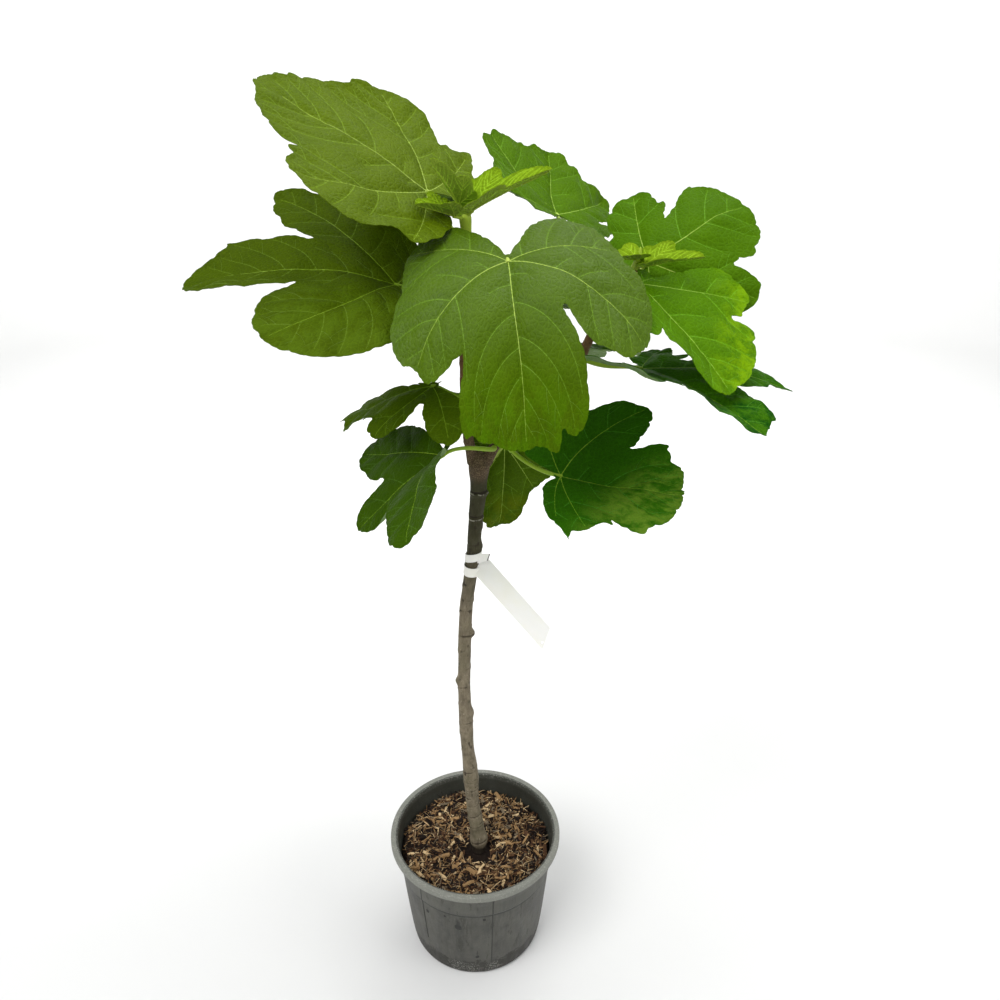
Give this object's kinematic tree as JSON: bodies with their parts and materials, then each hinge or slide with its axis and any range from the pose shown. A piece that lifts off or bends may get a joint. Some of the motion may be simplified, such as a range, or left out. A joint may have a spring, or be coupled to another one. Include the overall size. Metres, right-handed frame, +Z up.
{
  "type": "fig tree in a pot",
  "caption": "Young fig tree with a slender forked trunk and large lobed leaves, standing in a round plastic nursery pot.",
  "frame": {"origin": "centre of the pot's flat underside", "axes": "+Z up along the pot's axis, +X to the right and -Y to the front, as the picture shows the plant"},
  "size_m": [0.7277, 0.5153, 1.3509],
  "materials": {
    "pot_plastic": "weathered mid grey, scuffed",
    "bark_mix": "wood chips and shreds over dark humus",
    "trunk_bark": "grey-brown bark with rings and leaf scars",
    "young_bark": "smooth brown young bark",
    "leaf_deep": "dark green leaf, satin",
    "leaf_mid": "mid green leaf, satin",
    "leaf_bright": "bright green leaf, satin",
    "leaf_young": "yellow-green young leaf, satin",
    "white_label": "plain white label"
  },
  "bodies": {
    "root": {"pot": "pot_plastic", "potting_mix": "bark_mix", "trunk": "trunk_bark", "left_bough": "young_bark", "right_bough": "young_bark", "leaf_top_left": "leaf_mid", "leaf_left": "leaf_deep", "leaf_front": "leaf_mid", "leaf_top_back": "leaf_bright", "leaf_right_upper": "leaf_mid", "leaf_right_bright": "leaf_bright", "leaf_right_low": "leaf_deep", "leaf_low_right": "leaf_deep", "leaf_low_back": "leaf_mid", "leaf_low_left": "leaf_deep", "leaf_left_back": "leaf_deep", "leaf_back_top": "leaf_mid", "leaf_back_left": "leaf_deep", "leaf_back_middle": "leaf_mid", "leaf_back_low": "leaf_deep", "leaf_back_right": "leaf_bright", "leaf_back_under": "leaf_deep", "left_tip": "leaf_young", "right_tip": "leaf_young", "plant_tag": "white_label"}
  },
  "joints": []
}
